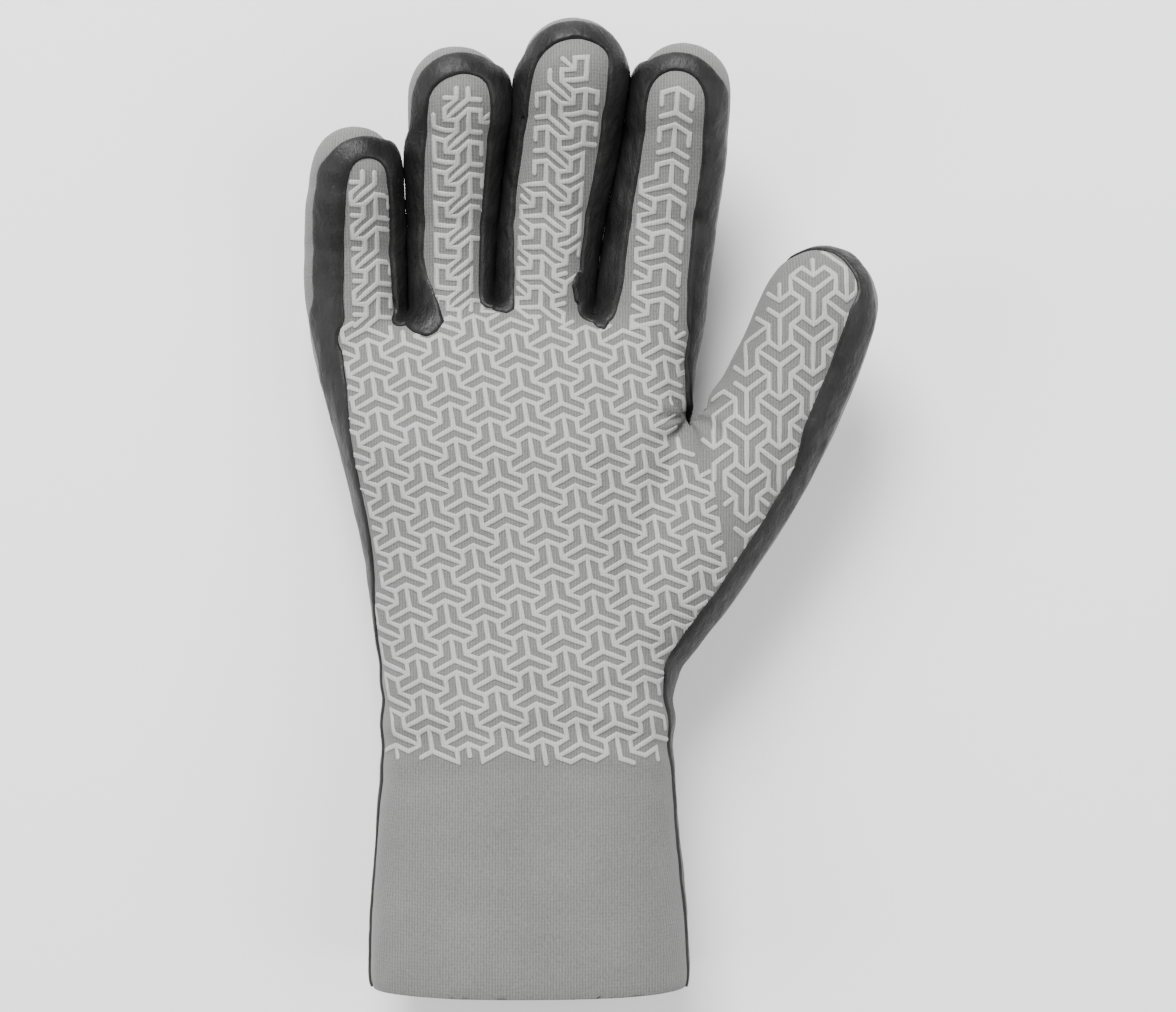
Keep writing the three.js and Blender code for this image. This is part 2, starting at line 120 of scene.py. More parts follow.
# How far the tape reaches from the seam, in mm: towards the palm and the back on its left, on its right and
# over the tip
TAPE_REACH = {
    "pinky": (4.4, 6.4, 3.6, 4.6, 2.6, 4.6),
    "ring": (2.0, 4.6, 4.6, 4.6, 2.6, 5.0),
    "middle": (1.0, 5.6, 4.6, 4.6, 1.2, 6.0),
    "index": (5.0, 4.6, 4.8, 4.4, 4.2, 2.2),
    "thumb": (1.0, 4.8, 7.2, 4.2, 4.0, 2.4),
}
# The tape over the knuckle seam on the back, in mm: x, y and half its width along it
KNUCKLE_TAPE = [
    (-54.6, 50.0, 4.9), (-50.0, 50.0, 5.0), (-24.0, 50.2, 4.5), (-9.5, 51.6, 4.0), (-3.0, 55.4, 3.8),
    (1.6, 61.5, 3.4),
]


# Meshes as numpy arrays
def node_mesh(name):
    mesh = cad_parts[name].data
    mesh.calc_loop_triangles()
    points = np.empty(len(mesh.vertices) * 3)
    mesh.vertices.foreach_get("co", points)
    faces = np.empty(len(mesh.loop_triangles) * 3, dtype=np.int64)
    mesh.loop_triangles.foreach_get("vertices", faces)
    return welded(points.reshape(-1, 3) / MM, faces.reshape(-1, 3))


def welded(points, faces):
    keys = np.round(points, 3)
    _, first, back = np.unique(keys, axis=0, return_index=True, return_inverse=True)
    return points[first], back.reshape(-1)[faces]


def normals_of(points, faces):
    a, b, c = (points[faces[:, i]] for i in range(3))
    face_normals = np.cross(b - a, c - a)
    sums = np.zeros_like(points)
    for axis in range(3):
        for corner in range(3):
            sums[:, axis] += np.bincount(faces[:, corner], face_normals[:, axis], len(points))
    return sums / np.maximum(np.linalg.norm(sums, axis=1, keepdims=True), 1e-12)


def joined(parts):
    points, faces, count = [], [], 0
    for p, f in parts:
        points.append(p)
        faces.append(f + count)
        count += len(p)
    return np.concatenate(points), np.concatenate(faces)


def edges_of(faces):
    pairs = np.sort(np.concatenate([faces[:, [0, 1]], faces[:, [1, 2]], faces[:, [2, 0]]]), axis=1)
    return np.unique(pairs, axis=0)


def spread(values, edges, rounds, share=0.5):
    """Values smoothed over the mesh, each moved towards the mean of its neighbours."""
    flat = values.reshape(len(values), -1).copy()
    a = np.concatenate([edges[:, 0], edges[:, 1]])
    b = np.concatenate([edges[:, 1], edges[:, 0]])
    degree = np.maximum(np.bincount(a, minlength=len(flat)), 1)
    for _ in range(rounds):
        for column in range(flat.shape[1]):
            mean = np.bincount(a, flat[b, column], len(flat)) / degree
            flat[:, column] += share * (mean - flat[:, column])
    return flat.reshape(values.shape)


def remeshed(points, faces, voxel):
    mesh = bpy.data.meshes.new("work")
    mesh.from_pydata((points * MM).tolist(), [], faces.tolist())
    work = bpy.data.objects.new("work", mesh)
    bpy.context.scene.collection.objects.link(work)
    modifier = work.modifiers.new("remesh", "REMESH")
    modifier.mode = "VOXEL"
    modifier.voxel_size = voxel * MM
    made = work.evaluated_get(bpy.context.evaluated_depsgraph_get()).to_mesh()
    made.calc_loop_triangles()
    out_points = np.empty(len(made.vertices) * 3)
    made.vertices.foreach_get("co", out_points)
    out_faces = np.empty(len(made.loop_triangles) * 3, dtype=np.int64)
    made.loop_triangles.foreach_get("vertices", out_faces)
    bpy.data.objects.remove(work)
    bpy.data.meshes.remove(mesh)
    return out_points.reshape(-1, 3) / MM, out_faces.reshape(-1, 3)


def kept(points, faces, mask):
    """The faces in the mask, without the points that no face uses, and where each point came from."""
    faces = faces[mask]
    used, renumbered = np.unique(faces, return_inverse=True)
    return points[used], renumbered.reshape(-1, 3), used


def groups_of(pairs, count):
    """For each of the points, the lowest number among all points that it hangs together with."""
    label = np.arange(count)
    while True:
        lowest = np.minimum(label[pairs[:, 0]], label[pairs[:, 1]])
        fresh = label.copy()
        np.minimum.at(fresh, pairs[:, 0], lowest)
        np.minimum.at(fresh, pairs[:, 1], lowest)
        fresh = fresh[fresh]
        if np.array_equal(fresh, label):
            return label
        label = fresh


def outer_island(points, faces):
    """The island of a mesh that has the largest box."""
    label = groups_of(edges_of(faces), len(points))
    names = np.unique(label)
    size = {n: np.prod(np.ptp(points[label == n], axis=0)) for n in names}
    best = max(size, key=size.get)
    out_points, out_faces, _ = kept(points, faces, label[faces[:, 0]] == best)
    return out_points, out_faces


def split_at(points, faces, value, columns):
    """The same mesh with new points where value crosses zero, and what the columns are there."""
    side = value[faces] < 0
    count = side.sum(axis=1)
    whole = faces[(count == 0) | (count == 3)]
    cut = faces[(count == 1) | (count == 2)]
    lone_inside = count[(count == 1) | (count == 2)] == 1
    odd = np.where(lone_inside[:, None], value[cut] < 0, value[cut] >= 0)
    start = odd.argmax(axis=1)
    rows = np.arange(len(cut))
    a, b, c = (cut[rows, (start + i) % 3] for i in range(3))
    ends = np.sort(np.concatenate([np.stack([a, b], 1), np.stack([a, c], 1)]), axis=1)
    pairs, place = np.unique(ends, axis=0, return_inverse=True)
    place = place.reshape(-1)
    v0, v1 = value[pairs[:, 0]], value[pairs[:, 1]]
    share = np.clip(v0 / (v0 - v1), 0.02, 0.98)

    def blend(array):
        part = share if array.ndim == 1 else share[:, None]
        return array[pairs[:, 0]] + (array[pairs[:, 1]] - array[pairs[:, 0]]) * part

    ab = len(points) + place[: len(cut)]
    ac = len(points) + place[len(cut):]
    new_faces = np.concatenate([
        whole, np.stack([a, ab, ac], 1), np.stack([ab, b, c], 1), np.stack([ab, c, ac], 1)])
    new_value = np.concatenate([value, np.zeros(len(pairs))])
    new_columns = {k: np.concatenate([v, blend(v)]) for k, v in columns.items()}
    return np.concatenate([points, blend(points)]), new_faces, new_value, new_columns


def thickened(top, bottom, faces):
    """A closed body between two layers of points with the same faces."""
    count = len(top)
    pairs = np.concatenate([faces[:, [0, 1]], faces[:, [1, 2]], faces[:, [2, 0]]])
    keys = pairs[:, 0] * count + pairs[:, 1]
    rim = pairs[~np.isin(keys, pairs[:, 1] * count + pairs[:, 0])]
    a, b = rim[:, 0], rim[:, 1]
    walls = np.concatenate([np.stack([b, a, a + count], 1), np.stack([b, a + count, b + count], 1)])
    return np.concatenate([top, bottom]), np.concatenate([faces, faces[:, ::-1] + count, walls])


def tree_of(points, faces):
    return BVHTree.FromPolygons(points.tolist(), faces.tolist())


def distances(points, tree):
    return np.array([tree.find_nearest(p)[3] for p in points.tolist()])


def wave(points, size, seed, octaves=2):
    """Smooth noise from -1 to 1 at each point, with features of that size."""
    offset = Vector((seed * 17.3, seed * 5.1, seed * 9.7))
    return np.array([noise.fractal(Vector(p) / size + offset, 1.0, 2.0, octaves) for p in points.tolist()])


def make_piece(name, points, faces, material, replaces=(), slot="printed_fabric"):
    mesh = bpy.data.meshes.new(name)
    mesh.from_pydata((points * MM).tolist(), [], faces.tolist())
    mesh.polygons.foreach_set("use_smooth", [True] * len(mesh.polygons))
    mesh.materials.append(material)
    mesh.update()
    piece = bpy.data.objects.new(name, mesh)
    bpy.context.scene.collection.objects.link(piece)
    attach(piece, "root")
    if replaces:
        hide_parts(*replaces)
    return piece


# Materials
def material_with(name):
    material = bpy.data.materials.new(name)
    material.use_nodes = True
    nodes = material.node_tree.nodes
    links = material.node_tree.links
    return material, nodes, links, nodes["Principled BSDF"]


def node(nodes, kind, **settings):
    made = nodes.new(kind)
    for key, value in settings.items():
        if key in made.inputs:
            made.inputs[key].default_value = value
        else:
            setattr(made, key, value)
    return made


def ramp_between(nodes, stops):
    ramp = nodes.new("ShaderNodeValToRGB")
    elements = ramp.color_ramp.elements
    while len(elements) < len(stops):
        elements.new(0.5)
    for element, (place, grey) in zip(elements, stops):
        element.position = place
        element.color = (grey, grey, grey * 0.985, 1)
    return ramp


def knit_material(name, dark, light, rib_bump, roughness, sheen):
    """Knitted fabric: fine upright ribs, a grain of single stitches and slow changes of tone."""
    material, nodes, links, shader = material_with(name)
    place = nodes.new("ShaderNodeTexCoord")
    rib_scale = 2 * math.pi / (20 * 0.00078)
    ribs = node(nodes, "ShaderNodeTexWave", bands_direction="X", Scale=rib_scale)
    side_ribs = node(nodes, "ShaderNodeTexWave", bands_direction="Z", Scale=rib_scale)
    for wave_texture in (ribs, side_ribs):
        wave_texture.inputs["Distortion"].default_value = 1.6
        wave_texture.inputs["Detail"].default_value = 2
        wave_texture.inputs["Detail Scale"].default_value = 1.4
    rows = node(nodes, "ShaderNodeTexWave", bands_direction="Y", Scale=2 * math.pi / (20 * 0.0009))
    rows.inputs["Distortion"].default_value = 2.5
    rows.inputs["Detail"].default_value = 2
    grain = node(nodes, "ShaderNodeTexNoise", Scale=1500, Detail=3)
    slow = node(nodes, "ShaderNodeTexNoise", Scale=42, Detail=5)
    for texture in (ribs, side_ribs, rows, grain, slow):
        links.new(place.outputs["Object"], texture.inputs["Vector"])
    way = nodes.new("ShaderNodeSeparateXYZ")
    links.new(place.outputs["Normal"], way.inputs[0])
    sideways = node(nodes, "ShaderNodeMath", operation="ABSOLUTE")
    links.new(way.outputs["X"], sideways.inputs[0])
    turned = nodes.new("ShaderNodeMapRange")
    turned.inputs["From Min"].default_value = 0.62
    turned.inputs["From Max"].default_value = 0.80
    links.new(sideways.outputs[0], turned.inputs["Value"])
    both_ribs = nodes.new("ShaderNodeMix")
    links.new(turned.outputs[0], both_ribs.inputs[0])
    links.new(ribs.outputs["Fac"], both_ribs.inputs[2])
    links.new(side_ribs.outputs["Fac"], both_ribs.inputs[3])
    mixed = node(nodes, "ShaderNodeMath", operation="MULTIPLY_ADD")
    mixed.inputs[1].default_value = 0.42
    links.new(both_ribs.outputs[0], mixed.inputs[0])
    grainy = node(nodes, "ShaderNodeMath", operation="MULTIPLY_ADD")
    grainy.inputs[1].default_value = 0.75
    links.new(grain.outputs["Fac"], grainy.inputs[0])
    slower = node(nodes, "ShaderNodeMath", operation="MULTIPLY_ADD")
    slower.inputs[1].default_value = 0.35
    slower.inputs[2].default_value = -0.25
    links.new(slow.outputs["Fac"], slower.inputs[0])
    links.new(slower.outputs[0], grainy.inputs[2])
    links.new(grainy.outputs[0], mixed.inputs[2])
    ramp = ramp_between(nodes, [(0.12, dark), (0.88, light)])
    links.new(mixed.outputs[0], ramp.inputs["Fac"])
    links.new(ramp.outputs["Color"], shader.inputs["Base Color"])
    height = node(nodes, "ShaderNodeMath", operation="MULTIPLY_ADD")
    height.inputs[1].default_value = 0.22
    links.new(rows.outputs["Fac"], height.inputs[0])
    links.new(mixed.outputs[0], height.inputs[2])
    bump = node(nodes, "ShaderNodeBump", Strength=rib_bump, Distance=0.00025)
    links.new(height.outputs[0], bump.inputs["Height"])
    links.new(bump.outputs["Normal"], shader.inputs["Normal"])
    shader.inputs["Roughness"].default_value = roughness
    shader.inputs["Specular IOR Level"].default_value = 0.3
    shader.inputs["Sheen Weight"].default_value = sheen
    shader.inputs["Sheen Roughness"].default_value = 0.45
    return material


def rubber_material(name):
    """Brushed-on seam rubber: near black, half glossy, with drawn-out streaks and small pits."""
    material, nodes, links, shader = material_with(name)
    place = nodes.new("ShaderNodeTexCoord")
    drawn = nodes.new("ShaderNodeMapping")
    drawn.inputs["Scale"].default_value = (1, 0.3, 1)
    links.new(place.outputs["Object"], drawn.inputs["Vector"])
    streaks = node(nodes, "ShaderNodeTexNoise", Scale=520, Detail=6, Roughness=0.62)
    links.new(drawn.outputs["Vector"], streaks.inputs["Vector"])
    pits = node(nodes, "ShaderNodeTexNoise", Scale=1300, Detail=3)
    slow = node(nodes, "ShaderNodeTexNoise", Scale=90, Detail=4)
    for texture in (pits, slow):
        links.new(place.outputs["Object"], texture.inputs["Vector"])
    tone = ramp_between(nodes, [(0.3, 0.003), (0.72, 0.013)])
    links.new(slow.outputs["Fac"], tone.inputs["Fac"])
    links.new(tone.outputs["Color"], shader.inputs["Base Color"])
    gloss = ramp_between(nodes, [(0.3, 0.34), (0.7, 0.58)])
    links.new(streaks.outputs["Fac"], gloss.inputs["Fac"])
    links.new(gloss.outputs["Color"], shader.inputs["Roughness"])
    both = node(nodes, "ShaderNodeMath", operation="MULTIPLY_ADD")
    both.inputs[1].default_value = 0.35
    links.new(pits.outputs["Fac"], both.inputs[0])
    links.new(streaks.outputs["Fac"], both.inputs[2])
    shader.inputs["Specular IOR Level"].default_value = 0.3
    bump = node(nodes, "ShaderNodeBump", Strength=0.75, Distance=0.0004)
    links.new(both.outputs[0], bump.inputs["Height"])
    links.new(bump.outputs["Normal"], shader.inputs["Normal"])
    return material


def foam_material(name):
    """The cut edge of the foam rubber: charcoal, dull, with open cells whose pits are darkened with painted
    shade.
    """
    material, nodes, links, shader = material_with(name)
    place = nodes.new("ShaderNodeTexCoord")
    cells = node(nodes, "ShaderNodeTexVoronoi", Scale=2600)
    links.new(place.outputs["Object"], cells.inputs["Vector"])
    # Painted shade: the colour darkens towards each cell's middle, where the bump makes a pit.
    tone = ramp_between(nodes, [(0.1, 0.012), (0.8, 0.05)])
    links.new(cells.outputs["Distance"], tone.inputs["Fac"])
    links.new(tone.outputs["Color"], shader.inputs["Base Color"])
    bump = node(nodes, "ShaderNodeBump", Strength=0.5, Distance=0.0002)
    links.new(cells.outputs["Distance"], bump.inputs["Height"])
    links.new(bump.outputs["Normal"], shader.inputs["Normal"])
    shader.inputs["Roughness"].default_value = 0.9
    return material


fabric = knit_material("knit_fabric", 0.095, 0.185, 0.5, 0.8, 0.08)
ink = knit_material("print_ink", 0.28, 0.42, 0.28, 0.6, 0.04)
rubber = rubber_material("seam_rubber_gloss")
foam = foam_material("foam_edge")

# The smooth outer skin of the glove, made from the four panels with their seams closed
panels = {name: node_mesh(name) for name in FABRIC_PANELS}
pushed = [(p + SEAM_PUSH * normals_of(p, f), f) for p, f in panels.values()]


def mouth_plug():
    """A flat plug across the open end, so that the skin closes there and is cut open later."""
    near = np.concatenate([p for p, _ in panels.values()])
    ring = near[near[:, 1] < mouth_y + 0.5]
    centre = ring.mean(axis=0)
    angles = np.arctan2(ring[:, 2] - centre[2], ring[:, 0] - centre[0])
    order = np.argsort(angles)
    outline = []
    for sector in np.array_split(order, 32):
        far = sector[np.argmax(np.hypot(*(ring[sector] - centre)[:, [0, 2]].T))]
        outline.append(ring[far])
    outline = np.array(outline)
    front, back = outline + (0, -3, 0), outline + (0, 3, 0)
    count = len(outline)
    cap_points = np.concatenate([front, back, [centre + (0, -3, 0)], [centre + (0, 3, 0)]])
    faces = []
    for i in range(count):
        j = (i + 1) % count
        faces += [(i, j, count + j), (i, count + j, count + i)]
        faces += [(2 * count, j, i), (2 * count + 1, count + i, count + j)]
    return cap_points, np.array(faces)


points, faces = remeshed(*joined(pushed + [mouth_plug()]), FINE_VOXEL)
points, faces = outer_island(points, faces)
edges = edges_of(faces)
points = spread(points, edges, 30)
points = points - (SEAM_PUSH - 0.12) * normals_of(points, faces)
points, faces = remeshed(points, faces, SKIN_VOXEL)
points, faces = outer_island(points, faces)
edges = edges_of(faces)
points = spread(points, edges, 12)

# How far each point is on the palm's side of the seam, in mm, from the outer faces of the panels alone
skin_tree = tree_of(points, faces)


def outer_faces(name):
    panel_points, panel_faces = panels[name]
    corners = panel_points[panel_faces]
    middles = corners.mean(axis=1)
    across = np.cross(corners[:, 1] - corners[:, 0], corners[:, 2] - corners[:, 0])
    across /= np.maximum(np.linalg.norm(across, axis=1, keepdims=True), 1e-9)
    near = [skin_tree.find_nearest(p) for p in middles.tolist()]
    facing = np.array([Vector(n).dot(hit[1]) for n, hit in zip(across.tolist(), near)])
    away = np.array([hit[3] for hit in near])
    return panel_points, panel_faces[(facing > 0.8) & (away < 0.8)]


outer_panels = {name: outer_faces(name) for name in FABRIC_PANELS}
backs = joined([outer_panels[n] for n in FABRIC_PANELS[1:]])
seam = distances(points, tree_of(*backs)) - distances(points, tree_of(*outer_panels["palm_panel"]))
seam = spread(seam, edges, 6)


def round_digit(p, name):
    """For each point: the arc to the digit's seam, its distance over the radius, its side, and how far it is
    over the tip."""
    rows = np.array(AXES[name], dtype=float)
    tangents = np.gradient(rows[:, :3], axis=0)
    best = np.full(len(p), 1e9)
    found = np.zeros((len(p), 3))
    way = np.zeros((len(p), 3))
    extra = np.zeros((len(p), 2))
    for k in range(len(rows) - 1):
        span = rows[k + 1, :3] - rows[k, :3]
        t = np.clip((p - rows[k, :3]) @ span / (span @ span), 0, 1)[:, None]
        away = p - rows[k, :3] - t * span
        far = np.linalg.norm(away, axis=1)
        nearer = far < best
        best = np.where(nearer, far, best)
        found[nearer] = away[nearer]
        way[nearer] = (tangents[k] + t * (tangents[k + 1] - tangents[k]))[nearer]
        extra[nearer] = (rows[k, 3:] + t * (rows[k + 1, 3:] - rows[k, 3:]))[nearer]
    way /= np.linalg.norm(way, axis=1, keepdims=True)
    across = np.cross(way, (0, 0, 1))
    across /= np.linalg.norm(across, axis=1, keepdims=True)
    above = np.cross(across, way)
    roll = np.radians(extra[:, 1])[:, None]
    top = above * np.cos(roll) + across * np.sin(roll)
    angle = np.arccos(np.clip((found * top).sum(axis=1) / np.maximum(best, 1e-6), -1, 1))
    side = (found * np.cross(way, top)).sum(axis=1) / np.maximum(best, 1e-6)
    over_tip = (found * way).sum(axis=1) / extra[:, 0]
    return (math.radians(SEAM_HALF[name]) - angle) * extra[:, 0], best / extra[:, 0], side, over_tip


def smooth_step(value, low, high):
    t = np.clip((value - low) / (high - low), 0, 1)
    return t * t * (3 - 2 * t)


digit_names = list(AXES)
point_normals_of_skin = normals_of(points, faces)
around = [round_digit(points, name) for name in digit_names]
owner = np.argmin([r[1] for r in around], axis=0)
to_palm = np.full(len(points), TAPE_HALF)
to_back = np.full(len(points), TAPE_HALF)
for k, name in enumerate(digit_names):
    arc, _, side, over_tip = around[k]
    low, high = (52, 62) if name != "thumb" else (8, 24)
    own = np.where(owner == k, smooth_step(points[:, 1], low, high), 0)
    left = smooth_step(-side, -0.25, 0.25)
    tip = smooth_step(over_tip, 0.1, 0.6)
    reach = TAPE_REACH[name]
    palm_reach = (reach[0] * left + reach[2] * (1 - left)) * (1 - tip) + reach[4] * tip
    back_reach = (reach[1] * left + reach[3] * (1 - left)) * (1 - tip) + reach[5] * tip
    seam += own * (arc - seam)
    to_palm += own * (palm_reach - to_palm)
    to_back += own * (back_reach - to_back)
outer_edge = smooth_step(points[:, 1], -45, 0) * (1 - smooth_step(points[:, 1], 32, 50))
outer_edge *= points[:, 0] < -40
first_fork = np.exp(-(((points[:, 0] + 56) / 4) ** 2) - ((points[:, 1] - 50) / 6) ** 2)
to_palm += 4.0 * outer_edge - 3.0 * first_fork * (points[:, 2] > 10)
to_back -= 2.4 * outer_edge
seam, to_palm, to_back = spread(np.stack([seam, to_palm, to_back], 1), edges, 5).T


def folds(p, normals):
    """Height of the soft folds and swellings of the fabric at each point, in mm."""
    height = 0.30 * wave(p, 26, 2) + 0.12 * wave(p, 9, 3)
    cuff = 1 - smooth_step(p[:, 1], -78, -52)
    height += cuff * (0.55 * wave(p * (1, 0.6, 1), 30, 5) + 0.25 * wave(p, 12, 8))
    wrist = np.exp(-(((p[:, 1] + 58) / 15) ** 2))
    bow = p[:, 1] + 0.0035 * (p[:, 0] + 16) ** 2
    wrist_folds = np.sin(2 * math.pi * bow / 11.5 + 1.5 * wave(p, 30, 6))
    height += wrist * 0.55 * wrist_folds * (0.6 + 0.5 * wave(p, 22, 7))
    on_tongue = smooth_step(seam - to_palm, 0, 5)
    height += 0.55 * on_tongue * smooth_step(p[:, 1], 46, 62)
    for k, name in enumerate(digit_names[:4]):
        rows = AXES[name]
        for share, depth in ((0.36, 0.5), (0.66, 0.42)):
            joint = rows[0][1] + 14 + share * (rows[-1][1] - rows[0][1])
            away = (p[:, 1] - joint - 0.9 * wave(p, 9, 11 + k)) / 2.6
            height -= (owner == k) * depth * np.exp(-away * away) * smooth_step(normals[:, 2], -0.2, 0.6)
        away = (p[:, 1] - rows[0][1] - 44 - 1.2 * wave(p, 11, 21 + k)) / 3.0
        height += (owner == k) * 0.5 * np.exp(-away * away) * smooth_step(-normals[:, 2], 0.0, 0.7)
    crotch = np.array((27.5, 24.5))
    to_crotch = p[:, :2] - crotch
    far = np.linalg.norm(to_crotch, axis=1)
    turn = np.arctan2(to_crotch[:, 1], to_crotch[:, 0])
    pucker = np.exp(-((far / 11) ** 2)) * smooth_step(far, 0.5, 4)
    height += 0.95 * pucker * np.sin(7 * turn + 0.25 * far) * smooth_step(p[:, 2], 12, 24)
    thenar = p[:, 0] - 8 - 0.006 * (p[:, 1] - 5) ** 2
    crease = np.exp(-((thenar / 4.5) ** 2))
    crease *= smooth_step(p[:, 1], -38, -15) * (1 - smooth_step(p[:, 1], 14, 30))
    height -= 0.7 * crease * smooth_step(normals[:, 2], 0.2, 0.8)
    return height


points = points + point_normals_of_skin * folds(points, point_normals_of_skin)[:, None]
skin_tree = tree_of(points, faces)

# How much a point faces a neighbouring digit across a narrow gap, from 0 to 1
point_normals = normals_of(points, faces)
facing_gap = np.zeros(len(points))
for i in np.flatnonzero((np.abs(seam) < 14) & (points[:, 1] > 20)):
    start = points[i] + 0.2 * point_normals[i]
    if skin_tree.ray_cast(start.tolist(), point_normals[i].tolist(), 11)[0] is not None:
        facing_gap[i] = 1
facing_gap = spread(facing_gap, edges, 34)
half_gap = np.full(len(points), 3.0)
for i in np.flatnonzero(facing_gap > 0.02):
    start = points[i] + 0.2 * point_normals[i]
    hit = skin_tree.ray_cast(start.tolist(), point_normals[i].tolist(), 6)
    if hit[0] is not None:
        half_gap[i] = (hit[3] + 0.2) / 2
half_gap = spread(half_gap, edges, 5)

# Cut at the open end
points, faces, cut, columns = split_at(
    points, faces, mouth_y + 0.05 - points[:, 1],
    {"seam": seam, "gap": facing_gap, "half_gap": half_gap, "to_palm": to_palm, "to_back": to_back})
inside = (points[:, 1] >= mouth_y + 0.04)[faces].all(axis=1)
points, faces, used = kept(points, faces, inside)
columns = {key: values[used] for key, values in columns.items()}
seam = columns.pop("seam")

# Panels
points, faces, seam, columns = split_at(points, faces, seam, columns)
facing_gap, half_gap, to_palm, to_back = (columns[key] for key in ("gap", "half_gap", "to_palm", "to_back"))
skin_normals = normals_of(points, faces)
inner = points - WALL * skin_normals
palm_mask = seam[faces].mean(axis=1) > 0
owners = np.stack([distances(points, tree_of(*panels[n])) for n in FABRIC_PANELS[1:]])
nearest = owners.argmin(axis=0)
face_owner = np.array([np.bincount(row, minlength=3).argmax() for row in nearest[faces]])
for name, mask, node in (
    ("palm_fabric", palm_mask, "palm_panel"),
    ("back_fabric", ~palm_mask & (face_owner == 0), "back_panel"),
    ("ring_finger_fabric", ~palm_mask & (face_owner == 1), "ring_finger_back"),
    ("middle_finger_fabric", ~palm_mask & (face_owner == 2), "middle_finger_back"),
):
    part_points, part_faces, used = kept(points, faces, mask)
    body = thickened(part_points, inner[used], part_faces)
    piece = make_piece(name, *body, fabric, replaces=(node,))
    piece.data.materials.append(foam)
    for polygon in piece.data.polygons:
        if polygon.center.y < (mouth_y + 1.2) * MM and polygon.normal.y < -0.3:
            polygon.material_index = 1

# Tape over the seams
def fork_patch(p, normals):
    """How far inside a fork's outline a point lies, in mm, seen from above; below zero outside it."""
    best = np.full(len(p), -99.0)
    for outline in FORKS:
        corners = np.array(outline)
        near = np.full(len(p), 99.0)
        crossings = np.zeros(len(p), dtype=int)
        for a, b in zip(corners, np.roll(corners, -1, axis=0)):
            span = b - a
            t = np.clip((p[:, :2] - a) @ span / (span @ span), 0, 1)
            near = np.minimum(near, np.linalg.norm(p[:, :2] - a - t[:, None] * span, axis=1))
            spans = (a[1] > p[:, 1]) != (b[1] > p[:, 1])
            crossings += spans & (p[:, 0] < a[0] + (p[:, 1] - a[1]) * span[0] / (span[1] or 1e-9))
        best = np.maximum(best, np.where(crossings % 2 == 1, near, -near))
    return np.where((p[:, 2] > 14) & (normals[:, 2] > -0.35), best, -99)


reach_back = to_back + 2.6 * np.clip(facing_gap * 1.4, 0, 1)
field = np.where(seam > 0, seam - to_palm, -seam - reach_back)
field = np.minimum(field, -fork_patch(points, skin_normals))
edge_noise = 0.18 * wave(points, 5, 1)
field = field + edge_noise
tape_extra = {"n": skin_normals, "gap": facing_gap, "half_gap": half_gap}


def tape_body(field, extra, fullest):
    """Rubber over the part of the skin where the field is below zero, with rounded edges."""
    p, f, value, extra = split_at(points, faces, field, extra)
    p, f, used = kept(p, f, (value[f] <= 1e-6).all(axis=1))
    extra = {key: values[used] for key, values in extra.items()}
    extra["depth"] = -value[used]
    for level in (0.25, 0.7):
        p, f, _, extra = split_at(p, f, level - extra["depth"], extra)
    out = extra["n"] / np.linalg.norm(extra["n"], axis=1, keepdims=True)
    edge = np.interp(extra["depth"], [0, 0.25, 0.7, 1.4], [0.1, 0.62, 0.92, 1.0])
    rise = fullest(p, extra) * edge
    return thickened(p + out * rise[:, None], p - 0.1 * out, f)


def seam_rise(p, extra):
    pressed = np.clip(extra["half_gap"] - 0.05, TAPE_RISE, 2.0)
    creases = 0.14 * wave(p * (1, 0.55, 1), 3.2, 4, 3)
    return TAPE_RISE + creases + extra["gap"] * (pressed - TAPE_RISE)


make_piece("seam_tape_rubber", *tape_body(field, tape_extra, seam_rise), rubber,
           replaces=("seam_tape",), slot="seam_rubber")


def knuckle_field(p, normals):
    line = np.array(KNUCKLE_TAPE)
    best = np.full(len(p), 99.0)
    for a, b in zip(line[:-1], line[1:]):
        span = (b - a)[:2]
        t = np.clip((p[:, :2] - a[:2]) @ span / (span @ span), 0, 1)
        away = np.linalg.norm(p[:, :2] - a[:2] - t[:, None] * span, axis=1)
        best = np.minimum(best, away - a[2] - t * (b[2] - a[2]))
    return np.where((p[:, 2] < 17) & (normals[:, 2] < 0.5), best, 99.0)


def knuckle_rise(p, extra):
    return 0.95 + 0.2 * wave(p * (0.5, 1, 1), 3.5, 6, 3)


knuckle = knuckle_field(points, skin_normals) + 0.3 * wave(points, 6, 9)
make_piece("knuckle_tape_rubber", *tape_body(knuckle, {"n": skin_normals}, knuckle_rise), rubber,
           replaces=("knuckle_tape",), slot="seam_rubber")

# The print: bars of a few mm that meet in three-armed figures
SIN60 = math.sqrt(3) / 2
ARMS = [np.array((0.0, 1.0)), np.array((-SIN60, -0.5)), np.array((SIN60, -0.5))]


def figure_bars(flip):
    """Bars of one figure, in steps of the lattice: three arms, and two short bars behind each of them."""
    bars = []
    for k, arm in enumerate(ARMS):
        bars += [((0, 0), arm / 3), (arm / 3, arm * 2 / 3)]
        bars += [(-arm / 3, (other - arm) / 3) for m, other in enumerate(ARMS) if m != k]
    return [(np.array(a) * flip, np.array(b) * flip) for a, b in bars]


def lattice(reach, flip):
    """Nodes and bars of a whole lattice in its own coordinates."""
    index, nodes, bars = {}, [], set()
    for i in range(-reach, reach + 1):
        for j in range(-reach, reach + 1):
            middle = np.array((i * SIN60, j - 0.5 * i))
            for bar in figure_bars(flip):
                ends = []
                for end in bar:
                    place = middle + end
                    key = (round(place[0] * 60), round(place[1] * 60))
                    if key not in index:
                        index[key] = len(nodes)
                        nodes.append(place)
                    ends.append(index[key])
                bars.add((min(ends), max(ends)))
    return np.array(nodes), np.array(sorted(bars))


def laid(nodes, table):
    """Lattice nodes in plan, in mm."""
    up, right = np.array(table["up"]), np.array(table["right"])
    across = (right + 0.5 * up) / SIN60
    return np.array(table["middle"]) + nodes[:, :1] * across + nodes[:, 1:] * up


